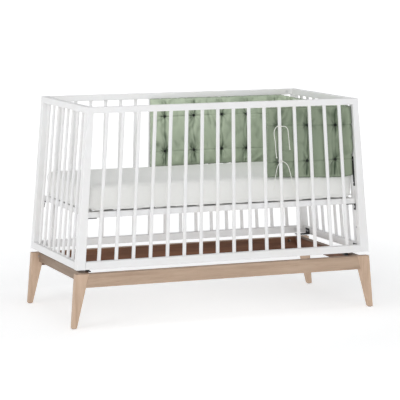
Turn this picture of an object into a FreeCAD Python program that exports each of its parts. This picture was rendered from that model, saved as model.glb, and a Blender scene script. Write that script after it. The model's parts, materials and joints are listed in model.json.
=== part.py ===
import FreeCAD, Part
import math
import os
from FreeCAD import Vector

# A baby crib on an oak leg frame. Millimetres, X along the length, front at -Y, Z up.
# The origin is on the floor, under the middle of the crib.

# ---- driving dimensions of the whole crib
FLOOR_HALF_LENGTH = 669.0   # middle to the outer edge of a foot
END_LEAN = 0.0868           # how far both ends come in for each mm of height
HALF_WIDTH = 325.0
HEIGHT = 890.0
BODY_BOTTOM = 238.0         # the white crib body starts here
BASE_TOP = 221.0            # the oak leg frame ends here

# ---- oak leg frame
GLIDE_HEIGHT = 3.0
LEG_TOP_WIDTH = 55.0
LEG_FOOT_WIDTH = 20.0
LEG_TOP_DEPTH = 32.0
LEG_FOOT_DEPTH = 25.0
BASE_RAIL_HEIGHT = 56.0
END_RAIL_HEIGHT = 40.0
END_RAIL_OUTER_X = 620.0
END_RAIL_THICKNESS = 37.0
OAK_ROUNDING = 2.0

# ---- white body
POST_DEPTH = 36.0
POST_BOTTOM_WIDTH = 38.0
POST_TOP_WIDTH = 26.0
TOP_RAIL_HEIGHT = 26.0
RAIL_DEPTH = 24.0
SIDE_BOTTOM_RAIL_HEIGHT = 31.0
END_BOTTOM_RAIL_HEIGHT = 30.0
SLAT_WIDTH = 14.0
SLAT_DEPTH = 11.0
SLAT_ROUNDING = 3.5
SIDE_SLATS = 16
SIDE_PITCH_BOTTOM = 73.4
SIDE_PITCH_TOP = 67.8
END_SLATS = 8
RAIL_ROUNDING = 2.5

# ---- height-adjustable mattress base and mattress
BED_HALF_LENGTH = 591.0
BED_HALF_WIDTH = 299.0
BED_TOP = 466.0
BED_THICKNESS = 24.0
BED_RAIL_WIDTH = 40.0
BED_SLATS = 12
BED_SLAT_WIDTH = 60.0
BED_SLAT_THICKNESS = 12.0
MATTRESS_HALF_LENGTH = 600.0
MATTRESS_HALF_WIDTH = 300.0
MATTRESS_TOP = 576.0
MATTRESS_CORNER = 50.0
MATTRESS_EDGE = 18.0
HEIGHT_SETTINGS = (429.0, 341.0, 253.0)

# ---- steel fittings
SHEET = 3.0
STANDOFF_X = 578.0
STANDOFF_Y = 246.0
STANDOFF_RADIUS = 9.0
BRACE_WIDTH = 26.0
PLATE_WIDTH = 36.0
CAM_RADIUS = 7.5
CAM_DEPTH = 12.0
PIN_RADIUS = 3.5
STRAP_BOTTOM = 518.0
STRAP_TOP = 643.0
STRAP_THICKNESS = 2.5

# ---- quilted bumper pad with its ties
BUMPER_BOTTOM = 577.0
BUMPER_TOP = 858.0
BACK_PAD_TOP = 862.0
BUMPER_OUTER_Y = 300.0
BUMPER_THICKNESS = 26.0
BUMPER_FRONT_LEFT = 195.0
BUMPER_BACK_LEFT = -112.0
BUTTON_RADIUS = 7.0
BUTTON_HEIGHT = 2.5
BUTTON_ROWS = (790.0, 640.0)
FRONT_BUTTONS = (247.0, 375.0, 503.0)
BACK_BUTTONS = (-46.0, 89.0, 221.0, 340.0, 472.0)
END_BUTTONS = (-192.0, -64.0, 64.0, 192.0)
TIE_RADIUS = 1.5
TIE_SLAT = 11               # the slat, counted from the left, that the ties go round
KNOT_RADIUS = 5.0

os.makedirs("parts", exist_ok=True)


# ---------------------------------------------------------------- helpers
def half_length(z):
    """Outer end of the crib at height z."""
    return FLOOR_HALF_LENGTH - END_LEAN * z


def post_width(z):
    """A post seen from the front narrows towards its top."""
    share = (z - BODY_BOTTOM) / (HEIGHT - TOP_RAIL_HEIGHT - BODY_BOTTOM)
    return POST_BOTTOM_WIDTH + share * (POST_TOP_WIDTH - POST_BOTTOM_WIDTH)


def post_inner(z):
    return half_length(z) - post_width(z)


def box(x0, x1, y0, y1, z0, z1):
    return Part.makeBox(x1 - x0, y1 - y0, z1 - z0, Vector(x0, y0, z0))


def cylinder(radius, start, direction, length):
    return Part.makeCylinder(radius, length, Vector(*start), Vector(*direction))


def face_of(points):
    return Part.Face(Part.makePolygon([Vector(*p) for p in points + points[:1]]))


def prism_xz(points, y0, y1):
    """A plate outlined in X and Z that runs from y0 to y1."""
    return face_of([(x, y0, z) for x, z in points]).extrude(Vector(0, y1 - y0, 0))


def prism_yz(points, x0, x1):
    return face_of([(x0, y, z) for y, z in points]).extrude(Vector(x1 - x0, 0, 0))


def prism_xy(points, z0, z1):
    return face_of([(x, y, z0) for x, y in points]).extrude(Vector(0, 0, z1 - z0))


def long_edges(shape, direction):
    """The straight edges that run more or less along a direction."""
    wanted = Vector(*direction).normalize()
    found = []
    for edge in shape.Edges:
        run = edge.Vertexes[-1].Point - edge.Vertexes[0].Point
        if run.Length > 1 and abs(run.normalize().dot(wanted)) > 0.9:
            found.append(edge)
    return found


def rounded(shape, radius, direction):
    return shape.makeFillet(radius, long_edges(shape, direction))


def mirrored(shape, x_side, y_side):
    """A shape made for +X and +Y, turned over to the named side."""
    if x_side < 0:
        shape = shape.mirror(Vector(0, 0, 0), Vector(1, 0, 0))
    if y_side < 0:
        shape = shape.mirror(Vector(0, 0, 0), Vector(0, 1, 0))
    return shape


def corners(shape):
    """The same shape at all four corners."""
    return [mirrored(shape, x, y) for x in (-1, 1) for y in (-1, 1)]


def without(shape, *groups):
    """A host with the room for its fasteners taken out."""
    for group in groups:
        for tool in group:
            if shape.BoundBox.intersect(tool.BoundBox):
                shape = shape.cut(tool)
    return shape


def single(shape):
    """The one solid that a boolean or a fillet left."""
    return shape.Solids[0] if len(shape.Solids) == 1 else shape


def write(name, solids):
    """One sub-part to its own file."""
    if not isinstance(solids, list):
        solids = [solids]
    solids = [single(s) for s in solids]
    shape = solids[0] if len(solids) == 1 else Part.makeCompound(solids)
    shape.exportStep("parts/" + name + ".step")
    print(name, len(shape.Solids), "solids", round(shape.Volume / 1000), "cm3", shape.isValid())


SIDES = {"left": -1, "right": 1}
FACES = {"front": -1, "back": 1}


# ---------------------------------------------------------------- fasteners of the leg frame
BASE_BOLT_Z = 205.0
BASE_BOLT_Y = HALF_WIDTH - 16.0
BASE_NUT_X = 620.0


def base_barrel_nut():
    """A cross dowel in the leg, its end flush with the leg's inner face."""
    return cylinder(5.0, (BASE_NUT_X, HALF_WIDTH - LEG_TOP_DEPTH, BASE_BOLT_Z), (0, 1, 0), 22.0)


def base_bolt():
    """Runs along a side rail into the barrel nut, with its head in a pocket of the rail."""
    head = cylinder(6.0, (556.0, BASE_BOLT_Y, BASE_BOLT_Z), (1, 0, 0), 6.0)
    shank = cylinder(3.0, (562.0, BASE_BOLT_Y, BASE_BOLT_Z), (1, 0, 0), BASE_NUT_X - 5.0 - 562.0)
    return head.fuse(shank).removeSplitter()


def base_bolt_pocket():
    """The round access hole in the rail's inner face, in front of the bolt's head."""
    return cylinder(8.0, (553.0, HALF_WIDTH - LEG_TOP_DEPTH, BASE_BOLT_Z), (0, 1, 0), 22.0)


BASE_BOLTS = corners(base_bolt())
BASE_NUTS = corners(base_barrel_nut())
BASE_POCKETS = corners(base_bolt_pocket())


# ---------------------------------------------------------------- stand-off fittings
def level_screw(x, y, z, head_radius, shank_radius, length):
    """A wood screw along +X: its head ends at x, and its shank goes on from there."""
    head = cylinder(head_radius, (x - 2.5, y, z), (1, 0, 0), 2.5)
    shank = cylinder(shank_radius, (x, y, z), (1, 0, 0), length)
    return head.fuse(shank).removeSplitter()


def corner_brace():
    """Black steel angle on the oak end rail's inner face, its shelf flush with the frame's top."""
    x = END_RAIL_OUTER_X - END_RAIL_THICKNESS
    y_low = STANDOFF_Y - BRACE_WIDTH / 2
    y_high = STANDOFF_Y + BRACE_WIDTH / 2
    shelf = box(STANDOFF_X - 12.0, x, y_low, y_high, BASE_TOP - SHEET, BASE_TOP)
    flange = box(x - SHEET, x, y_low, y_high, BASE_TOP - 34.0, BASE_TOP)
    hole = cylinder(3.0, (STANDOFF_X, STANDOFF_Y, BASE_TOP - SHEET), (0, 0, 1), SHEET)
    return shelf.fuse(flange).removeSplitter().cut(hole)


def brace_screws():
    """Two wood screws that hold one angle to its oak rail."""
    x = END_RAIL_OUTER_X - END_RAIL_THICKNESS - SHEET
    spots = (STANDOFF_Y - BRACE_WIDTH / 4, STANDOFF_Y + BRACE_WIDTH / 4)
    return [level_screw(x, y, BASE_TOP - 22.0, 4.0, 2.0, SHEET + 18.0) for y in spots]


def standoff_spacer():
    """A round black sleeve that keeps the body clear of the leg frame."""
    height = BODY_BOTTOM - BASE_TOP
    sleeve = cylinder(STANDOFF_RADIUS, (STANDOFF_X, STANDOFF_Y, BASE_TOP), (0, 0, 1), height)
    return sleeve.cut(cylinder(3.0, (STANDOFF_X, STANDOFF_Y, BASE_TOP), (0, 0, 1), height))


def standoff_bolt():
    """Goes down through the body's angle and the sleeve, and screws into the frame's angle."""
    bottom = BASE_TOP - SHEET
    top = BODY_BOTTOM + SHEET
    shank = cylinder(3.0, (STANDOFF_X, STANDOFF_Y, bottom), (0, 0, 1), top - bottom)
    head = cylinder(5.0, (STANDOFF_X, STANDOFF_Y, top), (0, 0, 1), 2.0)
    return shank.fuse(head).removeSplitter()


def body_face(z):
    """The inner face of the body's leaning end rail."""
    return half_length(z) - RAIL_DEPTH


def corner_plate():
    """Black steel angle on the inner face of the body's end rail, level with the body's bottom."""
    low = BODY_BOTTOM
    high = BODY_BOTTOM + 26.0
    outline = [
        (STANDOFF_X - 12.0, low),
        (body_face(low), low),
        (body_face(high), high),
        (body_face(high) - SHEET, high),
        (body_face(low + SHEET) - SHEET, low + SHEET),
        (STANDOFF_X - 12.0, low + SHEET),
    ]
    plate = prism_xz(outline, STANDOFF_Y - PLATE_WIDTH / 2, STANDOFF_Y + PLATE_WIDTH / 2)
    return plate.cut(cylinder(3.0, (STANDOFF_X, STANDOFF_Y, low), (0, 0, 1), SHEET))


def plate_screws():
    """Two wood screws that hold one angle to the body's end rail."""
    z = BODY_BOTTOM + 16.0
    x = body_face(z) - SHEET
    spots = (STANDOFF_Y - PLATE_WIDTH / 4, STANDOFF_Y + PLATE_WIDTH / 4)
    return [level_screw(x, y, z, 4.0, 2.0, SHEET + 14.0) for y in spots]


BRACE_SCREWS = [s for screw in brace_screws() for s in corners(screw)]
PLATE_SCREWS = [s for screw in plate_screws() for s in corners(screw)]


# ---------------------------------------------------------------- oak leg frame
def leg_inner(z):
    """The leg's inner edge seen from the front: a straight line from top to foot."""
    top = half_length(BASE_TOP) - LEG_TOP_WIDTH
    foot = half_length(GLIDE_HEIGHT) - LEG_FOOT_WIDTH
    return foot + (top - foot) * (z - GLIDE_HEIGHT) / (BASE_TOP - GLIDE_HEIGHT)


def leg():
    """Splayed and tapered, its depth shrinking below the rails."""
    front = prism_xz(
        [
            (leg_inner(GLIDE_HEIGHT), GLIDE_HEIGHT),
            (half_length(GLIDE_HEIGHT), GLIDE_HEIGHT),
            (half_length(BASE_TOP), BASE_TOP),
            (leg_inner(BASE_TOP), BASE_TOP),
        ],
        HALF_WIDTH - LEG_TOP_DEPTH,
        HALF_WIDTH,
    )
    knee = BASE_TOP - BASE_RAIL_HEIGHT
    side = prism_yz(
        [
            (HALF_WIDTH, GLIDE_HEIGHT),
            (HALF_WIDTH, BASE_TOP),
            (HALF_WIDTH - LEG_TOP_DEPTH, BASE_TOP),
            (HALF_WIDTH - LEG_TOP_DEPTH, knee),
            (HALF_WIDTH - LEG_FOOT_DEPTH, GLIDE_HEIGHT),
        ],
        0,
        FLOOR_HALF_LENGTH + 1,
    )
    shape = front.common(side)
    return rounded(shape, OAK_ROUNDING, (0, 0, 1))


def side_base_rail():
    """Front or back oak rail; its ends follow the legs' inner edges."""
    low = BASE_TOP - BASE_RAIL_HEIGHT
    points = [
        (-leg_inner(low), low),
        (leg_inner(low), low),
        (leg_inner(BASE_TOP), BASE_TOP),
        (-leg_inner(BASE_TOP), BASE_TOP),
    ]
    shape = prism_xz(points, HALF_WIDTH - LEG_TOP_DEPTH, HALF_WIDTH)
    return rounded(shape, OAK_ROUNDING, (1, 0, 0))


def end_base_rail():
    inner = HALF_WIDTH - LEG_TOP_DEPTH
    shape = box(
        END_RAIL_OUTER_X - END_RAIL_THICKNESS, END_RAIL_OUTER_X,
        -inner, inner,
        BASE_TOP - END_RAIL_HEIGHT, BASE_TOP,
    )
    return rounded(shape, OAK_ROUNDING, (0, 1, 0))


def foot_glide():
    """A round plastic pad under each foot."""
    x = half_length(0) - LEG_FOOT_WIDTH / 2
    y = HALF_WIDTH - LEG_FOOT_DEPTH / 2
    pad = cylinder(9.0, (x, y, 0), (0, 0, 1), GLIDE_HEIGHT)
    rim = [e for e in pad.Edges if e.Vertexes[0].Point.z < 0.1 and len(e.Vertexes) == 1]
    return pad.makeChamfer(0.8, rim)


def build_leg_frame():
    tools = (BASE_BOLTS, BASE_NUTS, BASE_POCKETS, BRACE_SCREWS)
    for face, y in FACES.items():
        for side, x in SIDES.items():
            write("leg_" + face + "_" + side, without(mirrored(leg(), x, y), *tools))
        write("base_rail_" + face, without(mirrored(side_base_rail(), 1, y), *tools))
    for side, x in SIDES.items():
        write("base_rail_" + side, without(mirrored(end_base_rail(), x, 1), *tools))
    write("foot_glides", corners(foot_glide()))
    write("base_bolts", BASE_BOLTS)
    write("base_barrel_nuts", BASE_NUTS)
    write("corner_braces", [without(s, BRACE_SCREWS) for s in corners(corner_brace())])
    write("brace_screws", BRACE_SCREWS)
    write("standoff_spacers", corners(standoff_spacer()))
    write("standoff_bolts", corners(standoff_bolt()))
    write("corner_plates", [without(s, PLATE_SCREWS) for s in corners(corner_plate())])
    write("plate_screws", PLATE_SCREWS)


# ---------------------------------------------------------------- fasteners of the body
RAIL_MIDDLE_Y = HALF_WIDTH - RAIL_DEPTH / 2
TOP_PIN_Z = HEIGHT - TOP_RAIL_HEIGHT / 2
BOTTOM_PIN_Z = BODY_BOTTOM + SIDE_BOTTOM_RAIL_HEIGHT / 2


CAM_SETBACK = 24.0          # from the joint to the middle of the cam disc
PIN_IN_POST = 16.0


def cam_disc(joint_x, z):
    """A slotted cam disc in the rail's inner face."""
    x = joint_x - CAM_SETBACK
    y = HALF_WIDTH - RAIL_DEPTH
    return cam_room(joint_x, z).cut(box(x - 5.0, x + 5.0, y, y + 2.0, z - 0.8, z + 0.8))


def cam_room(joint_x, z):
    start = (joint_x - CAM_SETBACK, HALF_WIDTH - RAIL_DEPTH, z)
    return cylinder(CAM_RADIUS, start, (0, 1, 0), CAM_DEPTH)


def cam_pin(joint_x, z):
    """The steel pin in the post that the cam pulls on."""
    start = (joint_x - CAM_SETBACK + CAM_RADIUS, RAIL_MIDDLE_Y, z)
    return cylinder(PIN_RADIUS, start, (1, 0, 0), CAM_SETBACK - CAM_RADIUS + PIN_IN_POST)


CAM_JOINTS = (
    (half_length(TOP_PIN_Z) - POST_TOP_WIDTH, TOP_PIN_Z),
    (post_inner(BOTTOM_PIN_Z), BOTTOM_PIN_Z),
)
CAM_DISCS = [s for x, z in CAM_JOINTS for s in corners(cam_disc(x, z))]
CAM_ROOM = [s for x, z in CAM_JOINTS for s in corners(cam_room(x, z))]
CAM_PINS = [s for x, z in CAM_JOINTS for s in corners(cam_pin(x, z))]


def panel_dowel_set():
    """Beech dowels of the glued end panels: post to top rail, and post to bottom rail."""
    joint_z = HEIGHT - TOP_RAIL_HEIGHT
    y = HALF_WIDTH - POST_DEPTH
    upright = cylinder(4.0, (half_length(joint_z) - 14.0, HALF_WIDTH - 27.0, joint_z - 20.0), (0, 0, 1), 36.0)
    z = BODY_BOTTOM + 15.0
    level = cylinder(4.0, (half_length(z) - 12.5, y - 20.0, z), (0, 1, 0), 38.0)
    return corners(upright) + corners(level)


PANEL_DOWELS = panel_dowel_set()


def height_insert(z):
    """A brass threaded bush just under the surface of a post's inner face."""
    start = post_inner(z) + 0.5
    tube = cylinder(4.5, (start, HALF_WIDTH - 30.0, z), (1, 0, 0), 12.0)
    return tube.cut(cylinder(3.0, (start, HALF_WIDTH - 30.0, z), (1, 0, 0), 12.0))


def insert_room(z):
    return cylinder(4.5, (post_inner(z) - 3.0, HALF_WIDTH - 30.0, z), (1, 0, 0), 15.5)


HEIGHT_INSERTS = [s for z in HEIGHT_SETTINGS for s in corners(height_insert(z))]
INSERT_ROOM = [s for z in HEIGHT_SETTINGS for s in corners(insert_room(z))]


def strap_screw(z):
    """A short countersunk-style screw through a strap into its post."""
    head = cylinder(3.5, (post_inner(z) - STRAP_THICKNESS - 1.2, HALF_WIDTH - 28.0, z), (1, 0, 0), 1.2)
    shank = cylinder(1.8, (post_inner(z) - STRAP_THICKNESS, HALF_WIDTH - 28.0, z), (1, 0, 0), 16.0)
    return head.fuse(shank).removeSplitter()


STRAP_SCREWS = [s for z in (STRAP_BOTTOM + 14.0, STRAP_TOP - 14.0) for s in corners(strap_screw(z))]


# ---------------------------------------------------------------- white body
def post():
    """Tapers towards the top, with its outer edge on the crib's leaning end."""
    top = HEIGHT - TOP_RAIL_HEIGHT
    outline = [
        (post_inner(BODY_BOTTOM), BODY_BOTTOM),
        (half_length(BODY_BOTTOM), BODY_BOTTOM),
        (half_length(top), top),
        (post_inner(top), top),
    ]
    return rounded(prism_xz(outline, HALF_WIDTH - POST_DEPTH, HALF_WIDTH), RAIL_ROUNDING, (0, 0, 1))


def end_rail(low, high, thickness, half_span):
    """A rail across one end, with faces that lean as the end does."""
    outline = [
        (half_length(low) - thickness, low),
        (half_length(low), low),
        (half_length(high), high),
        (half_length(high) - thickness, high),
    ]
    return prism_xz(outline, -half_span, half_span)


def end_top_rail():
    """Lies over both posts and shows its ends at the front and the back."""
    shape = end_rail(HEIGHT - TOP_RAIL_HEIGHT, HEIGHT, POST_TOP_WIDTH, HALF_WIDTH)
    upper = [e for e in shape.Edges if e.BoundBox.ZMin > HEIGHT - 1]
    return shape.makeFillet(RAIL_ROUNDING, upper)


def end_bottom_rail():
    shape = end_rail(BODY_BOTTOM, BODY_BOTTOM + END_BOTTOM_RAIL_HEIGHT, RAIL_DEPTH, HALF_WIDTH - POST_DEPTH)
    return rounded(shape, RAIL_ROUNDING, (0, 1, 0))


def end_slats():
    """Evenly spaced between the posts, leaning with the end."""
    low = BODY_BOTTOM + END_BOTTOM_RAIL_HEIGHT
    high = HEIGHT - TOP_RAIL_HEIGHT
    clear = 2 * (HALF_WIDTH - POST_DEPTH) - END_SLATS * SLAT_WIDTH
    gap = clear / (END_SLATS + 1)
    inset = (RAIL_DEPTH - SLAT_DEPTH) / 2
    found = []
    for i in range(END_SLATS):
        y = -(HALF_WIDTH - POST_DEPTH) + gap + i * (gap + SLAT_WIDTH)
        outline = [
            (half_length(low) - inset - SLAT_DEPTH, low),
            (half_length(low) - inset, low),
            (half_length(high) - inset, high),
            (half_length(high) - inset - SLAT_DEPTH, high),
        ]
        found.append(rounded(prism_xz(outline, y, y + SLAT_WIDTH), SLAT_ROUNDING, (0, 0, 1)))
    return found


def side_top_rail():
    """Fits between the end panels' top rails."""
    low = HEIGHT - TOP_RAIL_HEIGHT
    x_low = half_length(low) - POST_TOP_WIDTH
    x_high = half_length(HEIGHT) - POST_TOP_WIDTH
    outline = [(-x_low, low), (x_low, low), (x_high, HEIGHT), (-x_high, HEIGHT)]
    return rounded(prism_xz(outline, HALF_WIDTH - RAIL_DEPTH, HALF_WIDTH), RAIL_ROUNDING, (1, 0, 0))


def side_bottom_rail():
    """Fits between the posts."""
    high = BODY_BOTTOM + SIDE_BOTTOM_RAIL_HEIGHT
    outline = [
        (-post_inner(BODY_BOTTOM), BODY_BOTTOM),
        (post_inner(BODY_BOTTOM), BODY_BOTTOM),
        (post_inner(high), high),
        (-post_inner(high), high),
    ]
    return rounded(prism_xz(outline, HALF_WIDTH - RAIL_DEPTH, HALF_WIDTH), RAIL_ROUNDING, (1, 0, 0))


def side_slat_x(i, z):
    """Middle of side slat i at height z: the slats fan out towards the bottom."""
    low = BODY_BOTTOM + SIDE_BOTTOM_RAIL_HEIGHT
    high = HEIGHT - TOP_RAIL_HEIGHT
    pitch = SIDE_PITCH_BOTTOM + (SIDE_PITCH_TOP - SIDE_PITCH_BOTTOM) * (z - low) / (high - low)
    return (i - (SIDE_SLATS - 1) / 2) * pitch


def side_slats():
    low = BODY_BOTTOM + SIDE_BOTTOM_RAIL_HEIGHT
    high = HEIGHT - TOP_RAIL_HEIGHT
    y = RAIL_MIDDLE_Y - SLAT_DEPTH / 2
    found = []
    for i in range(SIDE_SLATS):
        x_low = side_slat_x(i, low)
        x_high = side_slat_x(i, high)
        half = SLAT_WIDTH / 2
        outline = [(x_low - half, low), (x_low + half, low), (x_high + half, high), (x_high - half, high)]
        found.append(rounded(prism_xz(outline, y, y + SLAT_DEPTH), SLAT_ROUNDING, (0, 0, 1)))
    return found


def post_strap():
    """A black steel strip on a post's inner face, beside the mattress's end."""
    outline = [
        (post_inner(STRAP_BOTTOM) - STRAP_THICKNESS, STRAP_BOTTOM),
        (post_inner(STRAP_BOTTOM), STRAP_BOTTOM),
        (post_inner(STRAP_TOP), STRAP_TOP),
        (post_inner(STRAP_TOP) - STRAP_THICKNESS, STRAP_TOP),
    ]
    return prism_xz(outline, HALF_WIDTH - 34.0, HALF_WIDTH - 22.0)


def build_body():
    hardware = (CAM_ROOM, CAM_PINS, PANEL_DOWELS, INSERT_ROOM, STRAP_SCREWS, PLATE_SCREWS)
    for side, x in SIDES.items():
        for face, y in FACES.items():
            write("post_" + face + "_" + side, without(mirrored(post(), x, y), *hardware))
        write("end_top_rail_" + side, without(mirrored(end_top_rail(), x, 1), *hardware))
        write("end_bottom_rail_" + side, without(mirrored(end_bottom_rail(), x, 1), *hardware))
        write("end_slats_" + side, [mirrored(s, x, 1) for s in end_slats()])
    for face, y in FACES.items():
        write("side_top_rail_" + face, without(mirrored(side_top_rail(), 1, y), *hardware))
        write("side_bottom_rail_" + face, without(mirrored(side_bottom_rail(), 1, y), *hardware))
        write("side_slats_" + face, [mirrored(s, 1, y) for s in side_slats()])
    write("cam_discs", CAM_DISCS)
    write("cam_pins", CAM_PINS)
    write("panel_dowels", PANEL_DOWELS)
    write("height_inserts", HEIGHT_INSERTS)
    write("post_straps", [without(s, STRAP_SCREWS) for s in corners(post_strap())])
    write("strap_screws", STRAP_SCREWS)


# ---------------------------------------------------------------- mattress base and mattress
BRACKET_LOW = 416.0
BRACKET_X = 594.0
BRACKET_THICKNESS = 2.5


def bed_long_rail():
    shape = box(
        -BED_HALF_LENGTH, BED_HALF_LENGTH,
        BED_HALF_WIDTH - BED_RAIL_WIDTH, BED_HALF_WIDTH,
        BED_TOP - BED_THICKNESS, BED_TOP,
    )
    return rounded(shape, RAIL_ROUNDING, (1, 0, 0))


def bed_end_rail():
    span = BED_HALF_WIDTH - BED_RAIL_WIDTH
    shape = box(
        BED_HALF_LENGTH - BED_RAIL_WIDTH, BED_HALF_LENGTH, -span, span, BED_TOP - BED_THICKNESS, BED_TOP
    )
    return rounded(shape, RAIL_ROUNDING, (0, 1, 0))


def bed_slats():
    """Boards across the frame, flush with its top."""
    clear = 2 * (BED_HALF_LENGTH - BED_RAIL_WIDTH) - BED_SLATS * BED_SLAT_WIDTH
    gap = clear / (BED_SLATS + 1)
    span = BED_HALF_WIDTH - BED_RAIL_WIDTH
    found = []
    for i in range(BED_SLATS):
        x = -(BED_HALF_LENGTH - BED_RAIL_WIDTH) + gap + i * (gap + BED_SLAT_WIDTH)
        board = box(x, x + BED_SLAT_WIDTH, -span, span, BED_TOP - BED_SLAT_THICKNESS, BED_TOP)
        found.append(rounded(board, RAIL_ROUNDING, (0, 1, 0)))
    return found


def bracket_bolt():
    """Its thread stops at the bracket, so that the base can travel past the posts."""
    z = HEIGHT_SETTINGS[0]
    y = HALF_WIDTH - 30.0
    head = cylinder(5.5, (BRACKET_X - 3.0, y, z), (1, 0, 0), 3.0)
    shank = cylinder(3.0, (BRACKET_X, y, z), (1, 0, 0), BRACKET_THICKNESS)
    return head.fuse(shank).removeSplitter().cut(cylinder(2.0, (BRACKET_X - 3.0, y, z), (1, 0, 0), 2.0))


def shelf_bracket():
    """An angle that carries a corner of the base and bolts to the post."""
    y_high = HALF_WIDTH - 25.0
    top = BED_TOP - BED_THICKNESS
    far_x = BRACKET_X + BRACKET_THICKNESS
    shelf = box(552.0, far_x, y_high - 38.0, y_high, top - BRACKET_THICKNESS, top)
    flange = box(BRACKET_X, far_x, y_high - 13.0, y_high, BRACKET_LOW, top)
    hole = cylinder(3.0, (BRACKET_X, HALF_WIDTH - 30.0, HEIGHT_SETTINGS[0]), (1, 0, 0), BRACKET_THICKNESS)
    return shelf.fuse(flange).removeSplitter().cut(hole)


def mattress():
    """Foam, with round corners and edges."""
    shape = box(
        -MATTRESS_HALF_LENGTH, MATTRESS_HALF_LENGTH,
        -MATTRESS_HALF_WIDTH, MATTRESS_HALF_WIDTH,
        BED_TOP, MATTRESS_TOP,
    )
    shape = rounded(shape, MATTRESS_CORNER, (0, 0, 1))
    rims = [e for e in shape.Edges if e.BoundBox.ZLength < 0.1]
    return shape.makeFillet(MATTRESS_EDGE, rims)


def build_bed():
    for face, y in FACES.items():
        write("bed_rail_" + face, mirrored(bed_long_rail(), 1, y))
    for side, x in SIDES.items():
        write("bed_rail_" + side, mirrored(bed_end_rail(), x, 1))
    write("bed_slats", bed_slats())
    write("shelf_brackets", corners(shelf_bracket()))
    write("bracket_bolts", corners(bracket_bolt()))
    write("mattress", mattress())


# ---------------------------------------------------------------- bumper pad and its ties
def side_pad(x_left, top):
    """A straight stretch of the pad, from x_left to the right-hand posts."""
    clear = 4.0
    outline = [
        (x_left, BUMPER_BOTTOM),
        (post_inner(BUMPER_BOTTOM) - clear, BUMPER_BOTTOM),
        (post_inner(top) - clear, top),
        (x_left, top),
    ]
    return prism_xz(outline, BUMPER_OUTER_Y - BUMPER_THICKNESS, BUMPER_OUTER_Y)


def end_pad_x(z):
    """Outer face of the pad's end stretch, a millimetre or so off the end slats."""
    return half_length(z) - (RAIL_DEPTH + SLAT_DEPTH) / 2 - 1.5


def end_pad():
    outline = [
        (end_pad_x(BUMPER_BOTTOM) - BUMPER_THICKNESS, BUMPER_BOTTOM),
        (end_pad_x(BUMPER_BOTTOM), BUMPER_BOTTOM),
        (end_pad_x(BUMPER_TOP), BUMPER_TOP),
        (end_pad_x(BUMPER_TOP) - BUMPER_THICKNESS, BUMPER_TOP),
    ]
    span = BUMPER_OUTER_Y - BUMPER_THICKNESS - 0.3
    return prism_xz(outline, -span, span)


def side_buttons(columns, row, face, outer_from):
    """Buttons on the inner and the outer face of a straight stretch of the pad."""
    found = []
    inner_y = BUMPER_OUTER_Y - BUMPER_THICKNESS - BUTTON_HEIGHT
    for i, x in enumerate(columns):
        faces = (inner_y, BUMPER_OUTER_Y) if i >= outer_from else (inner_y,)
        for y in faces:
            button = cylinder(BUTTON_RADIUS, (x, y, row), (0, 1, 0), BUTTON_HEIGHT)
            found.append(mirrored(button, 1, face))
    return found


def tuft_buttons():
    """Covered buttons in two rows. The ties take the place of the front's first outer ones."""
    found = []
    for z in BUTTON_ROWS:
        found += side_buttons(FRONT_BUTTONS, z, -1, 1)
        found += side_buttons(BACK_BUTTONS, z, 1, 0)
        for y in END_BUTTONS:
            x = end_pad_x(z) - BUMPER_THICKNESS - BUTTON_HEIGHT - 0.6
            found.append(cylinder(BUTTON_RADIUS, (x, y, z), (1, 0, 0), BUTTON_HEIGHT))
    return found


def route_wire(points):
    """Straight runs joined by tangent arcs, each as large as its two runs allow."""
    spots = [Vector(*p) for p in points]
    edges = []
    radii = []
    last = spots[0]
    for i in range(1, len(spots) - 1):
        before = spots[i] - spots[i - 1]
        after = spots[i + 1] - spots[i]
        turn = before.getAngle(after)
        reach = 0.45 * min(before.Length, after.Length)
        radii.append(reach / math.tan(turn / 2))
        start = spots[i] - before.normalize() * reach
        end = spots[i] + after.normalize() * reach
        inward = ((start + end) * 0.5 - spots[i]).normalize()
        centre = spots[i] + inward * (radii[-1] / math.cos(turn / 2))
        middle = centre - inward * radii[-1]
        edges.append(Part.LineSegment(last, start).toShape())
        edges.append(Part.Arc(start, middle, end).toShape())
        last = end
    edges.append(Part.LineSegment(last, spots[-1]).toShape())
    return Part.Wire(edges), radii


def cord(name, points):
    """A round cord along a route, with its bends and its volume printed."""
    wire, radii = route_wire(points)
    first = Vector(*points[1]) - Vector(*points[0])
    ring = Part.Wire(Part.makeCircle(TIE_RADIUS, Vector(*points[0]), first))
    tube = wire.makePipeShell([ring], True, True)
    expected = math.pi * TIE_RADIUS ** 2 * wire.Length
    print(name, "length", round(wire.Length, 1), "radii", [round(r, 1) for r in radii])
    print(name, "volume over section times length", round(tube.Volume / expected, 4))
    write(name, tube)


KNOT_Y = -(HALF_WIDTH + 2.5)


def knot_spot(z):
    return (side_slat_x(TIE_SLAT, z), KNOT_Y, z)


UPPER_KNOT_Z = 784.0
LOWER_KNOT_Z = 639.0

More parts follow.
